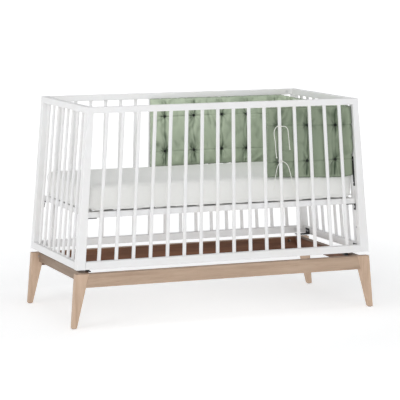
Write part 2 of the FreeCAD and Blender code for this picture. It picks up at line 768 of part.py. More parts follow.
# Routes of the loose tie ends, as offsets from the middle of their knot: across, out and up.
UPPER_LEFT = [(-5, 0, 0), (-14, -2, 3), (-25, -3, -3), (-31, -2, -16), (-31, 0, -34), (-26, 1, -55),
              (-23, 1, -80), (-22, 2, -105), (-18, 2, -128)]
UPPER_RIGHT = [(5, 0, 0), (14, -2, 2), (24, -3, -4), (31, -2, -15), (33, 0, -32), (36, 1, -52),
               (38, 1, -74), (41, 2, -95)]
LOWER_LEFT = [(-5, 0, -1), (-13, -3, -6), (-19, -3, -16), (-23, -1, -30), (-26, 1, -50),
              (-30, 2, -73), (-33, 2, -94), (-36, 1, -114)]
LOWER_RIGHT = [(5, 0, -1), (14, -3, -5), (23, -3, -14), (31, -1, -28), (37, 1, -46),
               (43, 2, -67), (48, 2, -89), (53, 1, -108), (57, 1, -127)]
TIE_ENDS = {
    "upper_tie_left": (UPPER_KNOT_Z, UPPER_LEFT),
    "upper_tie_right": (UPPER_KNOT_Z, UPPER_RIGHT),
    "lower_tie_left": (LOWER_KNOT_Z, LOWER_LEFT),
    "lower_tie_right": (LOWER_KNOT_Z, LOWER_RIGHT),
}


def tie_route(z, offsets):
    x0, y0, z0 = knot_spot(z)
    return [(x0 + dx, y0 + dy, z0 + dz) for dx, dy, dz in offsets]


def tie_loop(z):
    """The tie's tight turn round its slat, from the knot to the pad's face and back."""
    x = side_slat_x(TIE_SLAT, z)
    reach = SLAT_WIDTH / 2 + TIE_RADIUS + 0.8
    front = -(HALF_WIDTH - 4.0)
    back = -(BUMPER_OUTER_Y + 0.3)
    outline = box(x - reach - TIE_RADIUS, x + reach + TIE_RADIUS, front, back, z - TIE_RADIUS, z + TIE_RADIUS)
    room = reach - TIE_RADIUS
    inside = box(x - room, x + room, front + 2, back - 2.2, z - TIE_RADIUS, z + TIE_RADIUS)
    return outline.cut(inside)


def knot(z):
    x, y, _ = knot_spot(z)
    ball = Part.makeSphere(KNOT_RADIUS, Vector(x, y + 0.5, z))
    return ball.common(box(x - 9, x + 9, y - 9, -(HALF_WIDTH - 3.9), z - 9, z + 9))


def build_bumper():
    write("bumper_front", mirrored(side_pad(BUMPER_FRONT_LEFT, BUMPER_TOP), 1, -1))
    write("bumper_back", side_pad(BUMPER_BACK_LEFT, BACK_PAD_TOP))
    write("bumper_end", end_pad())
    write("tuft_buttons", tuft_buttons())
    write("tie_loops", [tie_loop(z) for z in (UPPER_KNOT_Z, LOWER_KNOT_Z)])
    write("tie_knots", [knot(z) for z in (UPPER_KNOT_Z, LOWER_KNOT_Z)])
    ends = []
    for name, (z, offsets) in TIE_ENDS.items():
        route = tie_route(z, offsets)
        cord(name, route)
        x, y, z_end = route[-1]
        ends.append(Part.makeSphere(2.8, Vector(x, y, z_end - 2.0)))
    write("tie_end_knots", ends)


build_leg_frame()
build_body()
build_bed()
build_bumper()
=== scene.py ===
# %% [markdown]
# # A baby crib, finished over its frame
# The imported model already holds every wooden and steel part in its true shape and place.
# What it can't hold is softness and surface: the mattress, the quilted bumper with its ties,
# and the finishes. This lesson adds those. Everything is in metres, with +X along the crib,
# the front at -Y and the origin on the floor under the middle.

# %% Load the frame
import bpy, bmesh, json, math, random
from mathutils import Matrix, Vector, noise

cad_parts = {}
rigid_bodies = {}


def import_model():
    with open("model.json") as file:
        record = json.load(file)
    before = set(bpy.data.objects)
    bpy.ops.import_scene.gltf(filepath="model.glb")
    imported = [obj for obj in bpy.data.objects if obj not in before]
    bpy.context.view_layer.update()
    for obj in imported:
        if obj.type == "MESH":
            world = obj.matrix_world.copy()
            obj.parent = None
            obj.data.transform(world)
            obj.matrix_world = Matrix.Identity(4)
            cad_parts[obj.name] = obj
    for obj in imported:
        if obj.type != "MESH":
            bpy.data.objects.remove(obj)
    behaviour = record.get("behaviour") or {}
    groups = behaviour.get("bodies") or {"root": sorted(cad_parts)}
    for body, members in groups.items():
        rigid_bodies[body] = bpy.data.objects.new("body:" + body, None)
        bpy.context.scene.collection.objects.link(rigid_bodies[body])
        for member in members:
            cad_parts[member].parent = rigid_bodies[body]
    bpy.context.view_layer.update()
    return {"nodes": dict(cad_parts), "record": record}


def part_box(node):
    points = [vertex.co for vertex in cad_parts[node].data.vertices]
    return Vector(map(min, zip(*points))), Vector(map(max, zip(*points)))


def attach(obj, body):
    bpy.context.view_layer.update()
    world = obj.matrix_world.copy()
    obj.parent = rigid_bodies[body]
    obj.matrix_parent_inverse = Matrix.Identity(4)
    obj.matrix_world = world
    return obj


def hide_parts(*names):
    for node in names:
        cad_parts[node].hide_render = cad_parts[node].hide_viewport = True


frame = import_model()
NODES = frame["nodes"]

# %% [markdown]
# ## The camera
# A product picture of furniture is taken from far away with a long lens, so that upright
# lines stay upright. The camera stands about eight metres off, to the left of the front,
# and looks slightly down. Its turn is built from three angles, because a matrix made from
# right, up and backwards leaves no doubt about their order.

# %% Camera
def camera_turn(yaw, pitch, roll):
    """The camera's right, up and backward directions as the columns of a matrix."""
    level = math.cos(pitch)
    look = Vector((math.sin(yaw) * level, math.cos(yaw) * level, -math.sin(pitch)))
    right = Vector((math.cos(yaw), -math.sin(yaw), 0))
    up = right.cross(look)
    tilted_right = right * math.cos(roll) + up * math.sin(roll)
    tilted_up = up * math.cos(roll) - right * math.sin(roll)
    return Matrix((tilted_right, tilted_up, -look)).transposed().to_4x4()


lens = bpy.data.cameras.new("camera")
lens.lens, lens.sensor_width = 175.5, 36.0
lens.clip_start, lens.clip_end = 0.1, 100.0
camera = bpy.data.objects.new("camera", lens)
bpy.context.scene.collection.objects.link(camera)
turn = camera_turn(math.radians(21.199), math.radians(7.328), math.radians(-0.217))
camera.matrix_world = Matrix.Translation((-2.96724, -7.67084, 1.50954)) @ turn
bpy.context.scene.camera = camera
bpy.context.scene.view_settings.view_transform = "Standard"
print("camera at", [round(c, 2) for c in camera.location], "lens", lens.lens, "mm")

# %% [markdown]
# ## The ties
# Two cotton ties hold the bumper to a front slat. Each goes round the slat, is knotted in
# front of it and hangs down in two ends. A tie is a laid cord: three strands twisted
# together. The line that it follows is drawn first, as a smooth NURBS spline through the
# same few points as the CAD tube. The cord itself is a tube with three lobes that turn as
# it goes, which catches the light like real strands and costs few faces.

# %% The ties' lines
TIE_DIAMETER = 0.003
KNOT_UP = Vector((0.23994, -0.3275, 0.784))
KNOT_LOW = Vector((0.24468, -0.3275, 0.639))
TIE_ENDS = {
    "upper_tie_left": (KNOT_UP, [(-5, 0, 0), (-14, -2, 3), (-25, -3, -3), (-31, -2, -16),
                                 (-31, 0, -34), (-26, 1, -55), (-23, 1, -80), (-22, 2, -105),
                                 (-18, 2, -128)]),
    "upper_tie_right": (KNOT_UP, [(5, 0, 0), (14, -2, 2), (24, -3, -4), (31, -2, -15), (33, 0, -32),
                                  (36, 1, -52), (38, 1, -74), (41, 2, -95)]),
    "lower_tie_left": (KNOT_LOW, [(-5, 0, -1), (-13, -3, -6), (-19, -3, -16), (-23, -1, -30),
                                  (-26, 1, -50), (-30, 2, -73), (-33, 2, -94), (-36, 1, -114)]),
    "lower_tie_right": (KNOT_LOW, [(5, 0, -1), (14, -3, -5), (23, -3, -14), (31, -1, -28),
                                   (37, 1, -46), (43, 2, -67), (48, 2, -89), (53, 1, -108),
                                   (57, 1, -127)]),
}


def smooth_line(name, route):
    """Points along a NURBS spline whose control points are the route."""
    curve = bpy.data.curves.new(name, "CURVE")
    curve.dimensions, curve.resolution_u = "3D", 24
    spline = curve.splines.new("NURBS")
    spline.points.add(len(route) - 1)
    for point, place in zip(spline.points, route):
        point.co = (*place, 1.0)
    spline.order_u = 3
    spline.use_endpoint_u = True
    curve_holder_and_painted_shade = bpy.data.objects.new(name, curve)
    mesh = bpy.data.meshes.new_from_object(curve_holder_and_painted_shade)
    line = [v.co.copy() for v in mesh.vertices]
    bpy.data.curves.remove(curve)
    bpy.data.meshes.remove(mesh)
    return line


def line_length(line):
    return sum((b - a).length for a, b in zip(line, line[1:]))


tie_lines = {}
for name, (knot, steps) in TIE_ENDS.items():
    tie_lines[name] = smooth_line(name, [knot + Vector(s) / 1000 for s in steps])
    print(name, "is", round(line_length(tie_lines[name]), 4), "m long")

# %% Laid cord along a line
def evenly(line, step, closed=False):
    """The same line with its points a step apart."""
    if closed:
        line = line + line[:1]
    runs = [(b - a).length for a, b in zip(line, line[1:])]
    count = max(4, round(sum(runs) / step))
    places, i, gone = [], 0, 0.0
    for k in range(count if closed else count + 1):
        want = sum(runs) * k / count
        while i < len(runs) - 1 and gone + runs[i] < want:
            gone += runs[i]
            i += 1
        places.append(line[i].lerp(line[i + 1], (want - gone) / max(runs[i], 1e-9)))
    return places


def laid_cord(name, line, radius, lay=0.006, closed=False, corners=15):
    """A tube with three turning lobes along a line. Open ends are capped."""
    line = evenly(line, 0.0008 * radius / 0.0015, closed)
    rings = []
    side, gone, last = None, 0.0, line[0]
    for i, place in enumerate(line):
        ahead = line[(i + 1) % len(line)] if closed or i + 1 < len(line) else place
        behind = line[i - 1] if closed or i else place
        along = (ahead - behind).normalized()
        side = along.orthogonal() if side is None else side - along * side.dot(along)
        side.normalize()
        gone += (place - last).length
        last = place
        ring = []
        for k in range(corners):
            angle = 2 * math.pi * k / corners
            lobe = 0.86 + 0.14 * math.cos(3 * angle - 2 * math.pi * gone / lay)
            outward = side * math.cos(angle) + along.cross(side) * math.sin(angle)
            ring.append(place + outward * radius * lobe)
        rings.append(ring)
    faces = []
    for i in range(len(rings) if closed else len(rings) - 1):
        a, b = i * corners, ((i + 1) % len(rings)) * corners
        for k in range(corners):
            after = (k + 1) % corners
            faces.append((a + k, a + after, b + after, b + k))
    if not closed:
        last_ring = (len(rings) - 1) * corners
        faces += [tuple(reversed(range(corners))), tuple(range(last_ring, last_ring + corners))]
    mesh = bpy.data.meshes.new(name)
    mesh.from_pydata([p for ring in rings for p in ring], [], faces)
    mesh.shade_smooth()
    piece = bpy.data.objects.new(name, mesh)
    bpy.context.scene.collection.objects.link(piece)
    return piece


def stands_for(piece, body, slot, *nodes):
    """The piece rides on a body and hides the CAD nodes it stands for. slot is not used."""
    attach(piece, body)
    if nodes:
        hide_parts(*nodes)
    return piece


ties = {}
for name, line in tie_lines.items():
    cord = laid_cord(name + "_cord", line, TIE_DIAMETER / 2)
    ties[name] = stands_for(cord, "crib", "tie_cord", name)
    print(name, "has", len(ties[name].data.polygons), "faces")

# %% [markdown]
# A knot is a cord that passes through its own loop. The overhand knot's centre line has a
# neat formula, the trefoil, so the same laid cord can follow it, pulled small and tight.

# %% Knots and the turns round the slat
def overhand(centre, size, flat=0.7):
    """The closed line of a tight overhand knot."""
    line = []
    for k in range(90):
        t = 2 * math.pi * k / 90
        across, up = math.sin(t) + 2 * math.sin(2 * t), math.cos(t) - 2 * math.cos(2 * t)
        line.append(centre + Vector((across, -math.sin(3 * t) * 2 * flat, up * 0.85)) * size / 3)
    return line


def turn_round_slat(centre, reach=0.0087, front=-0.3203, back=-0.3030, rounding=0.0035):
    """The closed line of the tie's turn round its slat."""
    line = []
    for cx, cy, start in ((1, back, 0), (-1, back, 90), (-1, front, 180), (1, front, 270)):
        x = centre.x + cx * (reach - rounding)
        y = cy - rounding if cy == back else cy + rounding
        for k in range(7):
            angle = math.radians(start + 15 * k)
            dx, dy = rounding * math.cos(angle), rounding * math.sin(angle)
            line.append(Vector((x + dx, y + dy, centre.z)))
    return line


def joined(name, parts):
    """Several objects made into one piece."""
    bpy.ops.object.select_all(action="DESELECT")
    for part in parts:
        part.select_set(True)
    bpy.context.view_layer.objects.active = parts[0]
    bpy.ops.object.join()
    parts[0].name = parts[0].data.name = name
    return parts[0]


knots = [laid_cord("knot", overhand(k + Vector((0, 0.0008, 0)), 0.0042), 0.0014, closed=True)
         for k in (KNOT_UP, KNOT_LOW)]
stands_for(joined("overhand_knots", knots), "crib", "tie_cord", "tie_knots")
turns = [laid_cord("turn", turn_round_slat(k), 0.0014, closed=True) for k in (KNOT_UP, KNOT_LOW)]
stands_for(joined("turns_round_slat", turns), "crib", "tie_cord", "tie_loops")
end_knots = {}
for name, line in tie_lines.items():
    below = line[-1] + Vector((0, 0, -0.0014))
    end = laid_cord(name + "_end_knot", overhand(below, 0.0021), 0.00085, closed=True)
    end_knots[name] = stands_for(end, "crib", "tie_cord", "tie_end_knots")
for name, line in tie_lines.items():
    evenly(line, 0.0008)
print("ties:", len(ties), "hanging ends, with", len(end_knots), "end knots")

# %% [markdown]
# ## The mattress
# A foam mattress is a block, but its cover is soft: the edges round over, the sides swell a
# little, and the cloth hangs in faint upright folds where it is pulled in at the bottom.
# The CAD block is copied, made a little smaller, turned into an even net of small faces, and
# blown up from inside as cloth. Each point may only move a few millimetres, so that the
# block keeps its size.

# %% Helpers for soft pieces
def alone(piece):
    """Selects only this piece and makes it active."""
    bpy.ops.object.select_all(action="DESELECT")
    piece.select_set(True)
    bpy.context.view_layer.objects.active = piece


def apply_modifier(piece, kind, **settings):
    alone(piece)
    modifier = piece.modifiers.new(kind.lower(), kind)
    for key, value in settings.items():
        setattr(modifier, key, value)
    bpy.ops.object.modifier_apply(modifier=modifier.name)


def blow_up(piece, pressure, frames, grow=0.0, pins=None, cap=0.005, stiffness=15.0):
    """Runs the piece as cloth with air inside, and lets no point move further than the cap."""
    before = [v.co.copy() for v in piece.data.vertices]
    cloth = piece.modifiers.new("cloth", "CLOTH")
    cloth.settings.use_pressure = True
    cloth.settings.uniform_pressure_force = pressure
    cloth.settings.effector_weights.gravity = 0.0
    cloth.settings.shrink_min = -grow
    cloth.settings.tension_stiffness = cloth.settings.compression_stiffness = stiffness
    cloth.settings.quality = 5
    cloth.collision_settings.use_collision = False
    if pins:
        cloth.settings.vertex_group_mass = pins
    cloth.point_cache.frame_start, cloth.point_cache.frame_end = 1, frames
    for f in range(1, frames + 1):
        bpy.context.scene.frame_set(f)
    after = piece.evaluated_get(bpy.context.evaluated_depsgraph_get()).data
    moved = [a.co - b for a, b in zip(after.vertices, before)]
    piece.modifiers.remove(cloth)
    for v, start, move in zip(piece.data.vertices, before, moved):
        v.co = start + move * min(1.0, cap / max(move.length, 1e-9))
    bpy.context.scene.frame_set(1)
    furthest = round(1000 * max(m.length for m in moved), 1)
    print(piece.name, "moved by up to", furthest, "mm before the cap")


def smoothstep(x):
    x = min(1.0, max(0.0, x))
    return x * x * (3 - 2 * x)


# %% Mattress: the blown-up block
low, high = (Vector(c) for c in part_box("mattress"))
block = bpy.data.objects.new("sewn_mattress", NODES["mattress"].data.copy())
bpy.context.scene.collection.objects.link(block)
block.data.materials.clear()
alone(block)
bpy.ops.object.mode_set(mode="EDIT")
bpy.ops.mesh.select_all(action="SELECT")
bpy.ops.mesh.remove_doubles(threshold=0.00001)
bpy.ops.transform.shrink_fatten(value=-0.005)
bpy.ops.object.mode_set(mode="OBJECT")
apply_modifier(block, "REMESH", mode="VOXEL", voxel_size=0.011)
blow_up(block, pressure=3.0, frames=14, cap=0.005)
print("mattress net:", len(block.data.vertices), "points")

# %% Mattress: folds of the cover
def cover_fold(place):
    """How far the cover moves outwards at a point on the mattress's side."""
    height = (place.z - low.z) / (high.z - low.z)
    round_x = place.x if abs(place.y) > abs(place.x) * 0.48 else place.y + 3.1
    upright = noise.noise(Vector((round_x * 34, 0.7, height * 1.1)))
    slow = noise.noise(Vector((round_x * 9, 5.2, height * 0.8)))
    corner = smoothstep((abs(place.x) - 0.42) / 0.16)
    slant = noise.noise(Vector(((round_x + 0.12 * height) * 46, 9.4, height * 2.2)))
    hang = math.sin(math.pi * min(1, max(0, height))) ** 0.6
    return hang * (0.0011 * upright + 0.0013 * slow + 0.0020 * corner * slant)


apply_modifier(block, "SUBSURF", levels=1, render_levels=1)
normals = [v.normal.copy() for v in block.data.vertices]
for v, out in zip(block.data.vertices, normals):
    sideways = smoothstep((0.9 - abs(out.z)) / 0.6)
    dimple = noise.noise(Vector((v.co.x * 7, v.co.y * 7, 3.3))) * 0.0012
    v.co += out * (sideways * cover_fold(v.co) + (1 - sideways) * (dimple - 0.0012))
    v.co.z = min(high.z + 0.0008, max(low.z, v.co.z))
    squared = 0.7 * smoothstep((low.z + 0.022 - v.co.z) / 0.016)
    for axis in (0, 1):
        short = high[axis] - abs(v.co[axis])
        if short < 0.022:
            v.co[axis] += math.copysign(max(0.0, squared * short), v.co[axis])
for polygon in block.data.polygons:
    polygon.use_smooth = True
stands_for(block, "mattress_base", "mattress_cover", "mattress")
print("mattress:", len(block.data.polygons), "faces, box", [round(d, 3) for d in block.dimensions])

# %% [markdown]
# The cover's seam runs round the mattress close to its top and bottom edges: two layers of
# cloth are turned in and sewn, which leaves a thin raised cord. It follows the side of the
# finished mattress, so its line is found by casting rays at it from outside.

# %% Mattress: the two seams
def seam_round(height, inset=0.0004):
    """The line of a seam round the mattress at a height."""
    surface = block.evaluated_get(bpy.context.evaluated_depsgraph_get())
    half_x, half_y, corner = high.x, high.y, 0.050
    outline = []
    for cx, cy, start in ((1, -1, 270), (1, 1, 0), (-1, 1, 90), (-1, -1, 180)):
        for k in range(13):
            angle = math.radians(start + 7.5 * k)
            direction = Vector((math.cos(angle), math.sin(angle), 0))
            centre = Vector((cx * (half_x - corner), cy * (half_y - corner), height))
            outline.append((centre + direction * corner, direction))
    line = []
    for (a, da), (b, db) in zip(outline, outline[1:] + outline[:1]):
        steps = max(1, round((b - a).length / 0.012))
        for k in range(steps):
            place, out = a.lerp(b, k / steps), da.lerp(db, k / steps).normalized()
            hit, spot, _, _ = surface.ray_cast(place + out * 0.03, -out)
            line.append((spot if hit else place) - out * inset)
    return line


seams = [laid_cord("seam", seam_round(z), 0.0011, lay=0.004, closed=True, corners=9)
         for z in (low.z + 0.014, high.z - 0.016)]
stands_for(joined("mattress_seams", seams), "mattress_base", "mattress_cover")

# %% [markdown]
# ## The bumper pad
# The bumper is one long padded strip, tufted in two rows, that is folded round the right end
# of the crib. It is easiest to make flat, as it is sewn: a sheet with thickness, pinched at
# every tuft, blown up as cloth with a little more cloth than it has room for, so that it
# puckers. Only then is it bent round the end. One function tells where each point of the
# flat pad ends up, and the tufts' buttons use the same function, so they stay together.

# %% Where the pad goes
PAD_LOW, PAD_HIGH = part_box("bumper_back")[0][2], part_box("bumper_back")[1][2]
FRONT_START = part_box("bumper_front")[0][0]
BACK_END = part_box("bumper_back")[0][0]
PAD_HALF = 0.013                 # half the pad's thickness where it lies straight
FOLD = 0.021                     # the outer radius of the fold at each corner
FOLD_MIDDLE = FOLD - PAD_HALF
LEAN = 0.0868                    # how far an end leans inwards for each metre up
SLAT_SIDE, END_SIDE, INNER_SIDE = 0.0168, 0.0128, 0.0225    # the most that a half may be thick
SIDE_Y = -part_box("bumper_front")[0][1] - PAD_HALF
END_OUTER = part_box("bumper_end")[1][0] + LEAN * PAD_LOW
LAST_FRONT, LAST_BACK = 0.505, 0.472     # from here on the cloth is eased to meet the fold


def fold_x(z):
    """Where the fold round the end starts. The end leans, so this depends on the height."""
    return END_OUTER - LEAN * z - FOLD


def beside_post(place):
    """Past the last slat the pad fills the gap up to the post, and then passes behind it."""
    x, y, z = place
    face = 0.6264 - 0.0676 * z                   # the post's inner face, which leans and tapers
    free = smoothstep((z - 0.650) / 0.015)       # below this the post's strap is in the way
    if abs(y) < 0.2882:                          # this part is behind the post
        return place
    near = smoothstep((x - face + 0.030) / 0.014) * smoothstep((abs(y) - 0.2895) / 0.006)
    y += math.copysign(0.0135 * free * near, y)  # out into the gap between slat and post
    return Vector((min(x, face - 0.0015 - 0.0035 * (1 - free)), y, z))


def turned(centre, reach, angle):
    """A point on a corner that is squarer than a circle. The angle starts at the X axis."""
    along, out = abs(math.cos(angle)) ** 0.55, abs(math.sin(angle)) ** 0.55
    sideways = math.copysign(abs(reach) * out, math.sin(angle) * reach)
    return centre[0] + reach * along, centre[1] + sideways


FRONT_RUN = fold_x((PAD_LOW + PAD_HIGH) / 2) - FRONT_START
BACK_RUN = fold_x((PAD_LOW + PAD_HIGH) / 2) - BACK_END
ARC = FOLD_MIDDLE * math.pi / 2
END_RUN = 2 * (SIDE_Y - FOLD_MIDDLE)
PAD_LENGTH = FRONT_RUN + ARC + END_RUN + ARC + BACK_RUN

# How far the cloth has sunk, in mm, at a few places along the pad: at its lower edge, at
# the two rows of tufts and at its upper edge.
SINK_LEVELS = (PAD_LOW, 0.640, 0.790, PAD_HIGH)
SINK = ((0.00, (7, 7, 3, 4)), (0.20, (19, 7, 12, 4)), (0.24, (14, 7, 10, 4)), (0.38, (10, 6, 8, 9)),
        (0.57, (11, 6, 7, 9)), (0.62, (12, 8, 7, -4)), (0.80, (7, 3, 1, -4)), (1.00, (10, 4, 2, -4)))


def sunk(u, z):
    """How far a point of the pad has sunk below where it was sewn, in metres."""
    share = min(1.0, max(0.0, u / PAD_LENGTH))
    k = max(i for i in range(len(SINK) - 1) if SINK[i][0] <= share)
    (start, here), (end, there) = SINK[k], SINK[k + 1]
    t = smoothstep((share - start) / (end - start))
    mm = [a + (b - a) * t for a, b in zip(here, there)]
    j = max(i for i in range(3) if SINK_LEVELS[i] <= z or i == 0)
    h = smoothstep((z - SINK_LEVELS[j]) / (SINK_LEVELS[j + 1] - SINK_LEVELS[j]))
    return (mm[j] + (mm[j + 1] - mm[j]) * h) / 1000


def worn(u, out, z):
    """The place in the crib of a point of the flat pad: along it, out of its middle, and up."""
    hang = smoothstep((0.600 - z) / 0.025) * 0.007       # the lower edge stands off a little
    z -= sunk(u, z)
    start, turn_y = fold_x(z), SIDE_Y - FOLD_MIDDLE
    tight = max(min(out, 0.0125), -0.006)
    if u < PAD_LENGTH / 2:
        sign, along, run, begin, last = -1, u, FRONT_RUN, FRONT_START, LAST_FRONT
    else:
        sign, along, run, begin, last = 1, PAD_LENGTH - u, BACK_RUN, BACK_END, LAST_BACK
    if along <= run:
        x = begin + along
        if x > last:
            x = last + (along - last + begin) / (run - last + begin) * (start - last)
        close = smoothstep((along - run + 0.03) / 0.03)
        out += (tight - out) * close
        return beside_post(Vector((x, sign * (SIDE_Y + out + hang * (1 - close)), z)))
    along -= run
    if along <= ARC:
        angle = math.pi / 2 - along / FOLD_MIDDLE
        x, y = turned((start, turn_y), FOLD_MIDDLE + tight, angle)
        return beside_post(Vector((x, sign * y, z)))
    along -= ARC
    away = smoothstep(along / 0.03)
    return Vector((start + FOLD_MIDDLE + tight + (out - tight) * away, sign * (turn_y - along), z))


print("flat pad:", round(PAD_LENGTH, 3), "m long and", round(PAD_HIGH - PAD_LOW, 3), "m high")

# %% The tufts' places on the flat pad
ROWS = (0.640, 0.790)
at_end = FRONT_RUN + ARC + END_RUN / 2
at_back = FRONT_RUN + 2 * ARC + END_RUN + BACK_RUN
COLUMNS = [x - FRONT_START for x in (0.247, 0.375, 0.503)]
COLUMNS += [at_end + y for y in (-0.192, -0.064, 0.064, 0.192)]
COLUMNS += [at_back - (x - BACK_END) for x in (0.472, 0.340, 0.221, 0.089, -0.046)]
TUFTS = [(u, z) for u in COLUMNS for z in ROWS]
chance = random.Random(7)
PLEATS = {t: (chance.randint(7, 10), chance.uniform(0, 6.28)) for t in TUFTS}
print("tufts:", len(TUFTS))


def near_tufts(u, z, reach):
    return [t for t in TUFTS if abs(t[0] - u) < reach and abs(t[1] - z) < reach]


def edge_distance(u, z):
    return min(u, PAD_LENGTH - u, z - PAD_LOW, PAD_HIGH - z)


# %% The flat pad, sewn and blown up
def half_thickness(u, z):
    """The filling's half thickness before it is blown up: thin at the edges and at the tufts."""
    edge = min(1.0, edge_distance(u, z) / 0.024)
    half = 0.0015 + 0.0085 * math.sqrt(max(0.0, 1 - (1 - edge) ** 2))
    for tuft in near_tufts(u, z, 0.07):
        away = math.hypot(u - tuft[0], z - tuft[1])
        half = min(half, 0.0030 + 0.0075 * smoothstep(away / 0.050) ** 0.8)
    return half


across, up = ((228, 41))
bpy.ops.object.select_all(action="DESELECT")
bpy.ops.mesh.primitive_grid_add(x_subdivisions=across, y_subdivisions=up, size=1.0,
                                rotation=(math.pi / 2, 0, 0))
pad = bpy.context.object
pad.name = pad.data.name = "quilted_bumper"
pad.scale = (PAD_LENGTH, PAD_HIGH - PAD_LOW, 1)
pad.location = (PAD_LENGTH / 2, 0, (PAD_LOW + PAD_HIGH) / 2)
bpy.ops.object.transform_apply(location=True, rotation=True, scale=True)
apply_modifier(pad, "SOLIDIFY", thickness=0.02, offset=0.0)
pinned = pad.vertex_groups.new(name="sewn")
for v in pad.data.vertices:
    u, z = v.co.x, v.co.z
    side = 1 if v.co.y > 0 else -1
    v.co.y = side * half_thickness(u, z)
    if edge_distance(u, z) < 0.0005:
        pinned.add([v.index], 0.8, "REPLACE")
for tuft in TUFTS:
    for side in (-1, 1):
        spots = [v for v in pad.data.vertices if v.co.y * side > 0]
        nearest = min(spots, key=lambda v: (v.co.x - tuft[0]) ** 2 + (v.co.z - tuft[1]) ** 2)
        pinned.add([nearest.index], 1.0, "REPLACE")
blow_up(pad, pressure=6.0, frames=22, grow=0.07, pins="sewn", cap=0.009, stiffness=8.0)
print("pad net:", len(pad.data.vertices), "points")

# %% [markdown]
# Cloth that is pulled in to one stitch folds in pleats that fan out from it, and the two
# stitches of a column pull a crease between them. A thread also runs from tuft to tuft
# along each row. These marks are narrower than the net, so the net is made finer first and
# the folds are then pressed in.

# %% Pleats, creases and rows, and the bend round the end
def bell(x, width):
    """A smooth dent: 1 in the middle, and near 0 from twice the width on."""
    return math.exp(-(x / width) ** 2)


def pressed_in(u, z, side):
    """How far the cloth is pressed towards the pad's middle by its stitches."""
    deep = 0.0
    for tuft in near_tufts(u, z, 0.085):
        dx, dz = u - tuft[0], z - tuft[1]
        away, folds = math.hypot(dx, dz), PLEATS[tuft]
        around = math.atan2(dz, dx) + 0.35 * noise.noise(Vector((u * 22, z * 22, side)))
        wave = 0.5 + 0.5 * math.cos(folds[0] * around + folds[1] + side)
        deep += 0.0060 * wave ** 3 * smoothstep(away / 0.010) * math.exp(-away / 0.026)
        deep += 0.0040 * bell(away, 0.007)
    column = min(COLUMNS, key=lambda c: abs(c - u))
    between = smoothstep((z - PAD_LOW) / 0.02) * smoothstep((PAD_HIGH - z) / 0.02)
    sway = 0.011 * noise.noise(Vector((column * 3, z * 13, side)))
    across = u - column - sway
    uneven = 0.75 + 0.8 * noise.noise(Vector((column * 5, z * 24, side * 2)))
    deep += 0.0062 * uneven * between * bell(across, 0.0050)
    deep += 0.0028 * between * bell(across - 0.014 * side, 0.0070)
    row = min(ROWS, key=lambda r: abs(r - z))
    deep += 0.0030 * bell(z - row, 0.0026)
    below = smoothstep((ROWS[0] - z) / 0.02) * smoothstep((z - PAD_LOW) / 0.008)
    fan = (u - column) / (0.35 + (ROWS[0] - z) * 14)
    ray = (0.5 + 0.5 * math.cos(fan * 520 + column * 9)) ** 3
    return deep + 0.0034 * below * ray * bell(fan, 0.026)


def crumpled(u, z, side):
    """How far the cloth stands up or sinks between its stitches."""
    bent = u * 30 + 4 * noise.noise(Vector((u * 5, z * 9, 1.0)))
    height = noise.noise(Vector((u * 40, z * 26, side * 2.0))) * 0.0026
    height += noise.noise(Vector((u * 85, z * 34, side * 6.0))) * 0.0013
    return height + noise.noise(Vector((bent, z * 5, side * 4.0))) * 0.0046


def pad_painted_shade(u, z, side, deep, hollow, inside):
    """Painted shade on the cloth, from 0 to 1: in its folds and hollows, along its edges and by the
    post.
    """
    # Painted shadow along the lower and upper edges, and painted shade beside the post.
    painted_shadow_low_edge = 0.75 * smoothstep((PAD_LOW + 0.0065 - z) / 0.004)
    painted_shadow_top_edge = 0.4 * smoothstep((z - PAD_HIGH + 0.004) / 0.003)
    painted_shade_by_post = 0.7 * max(0.0, 1 - abs(u - FRONT_RUN - 0.005) / 0.007) if side < 0 else 0.0
    # Painted shade in deep folds and in the hollows between crumples.
    folded = min(1.0, max(0.0, deep - 0.0012) / 0.0070)
    painted_shade_in_hollows = 0.65 * inside * max(0.0, hollow - 0.0004) / 0.004
    return min(1.0, folded + max(painted_shadow_low_edge + painted_shadow_top_edge, painted_shade_by_post) + painted_shade_in_hollows)


apply_modifier(pad, "SUBSURF", levels=1, render_levels=1)
folds = pad.data.color_attributes.new(name="fold", type="FLOAT_COLOR", domain="POINT")
for v in pad.data.vertices:
    u, z, side = v.co.x, v.co.z, (1 if v.co.y > 0 else -1)
    u = min(PAD_LENGTH + 0.002, max(-0.002, u))
    on_end = FRONT_RUN < u < FRONT_RUN + 2 * ARC + END_RUN
    most = INNER_SIDE if side > 0 else END_SIDE if on_end else SLAT_SIDE
    inside = smoothstep(edge_distance(u, z) / 0.012)
    crumple, deep = crumpled(u, z, side), inside * pressed_in(u, z, side)
    # Red holds the painted shade in folds, along the edges and by the post, and green marks the
    # face that is turned into the crib, which is painted lighter as painted light.
    dark = pad_painted_shade(u, z, side, deep, -crumple, inside)
    folds.data[v.index].color = (dark, max(0.0, float(side)), 0, 1)
    half = min(abs(v.co.y), most - 0.0030 * inside)
    half = min(most, max(0.0009, half + inside * crumple - deep))
    gather = (1 - inside) * 0.0030 * noise.noise(Vector((u * 60, side, z * 3)))
    z = min(PAD_HIGH + 0.0005, max(PAD_LOW + 0.0002, z + gather))
    v.co = worn(u, -side * half, z)
for polygon in pad.data.polygons:
    polygon.use_smooth = True
stands_for(pad, "crib", "bumper_fabric", "bumper_front", "bumper_end", "bumper_back")
print("bumper:", len(pad.data.polygons), "faces")

# %% [markdown]
# The tufts are covered buttons: a disc of cloth gathered over a shell. One is modelled as a
# squashed dome with a rolled rim, and then copied to each tuft, facing out of the pad.

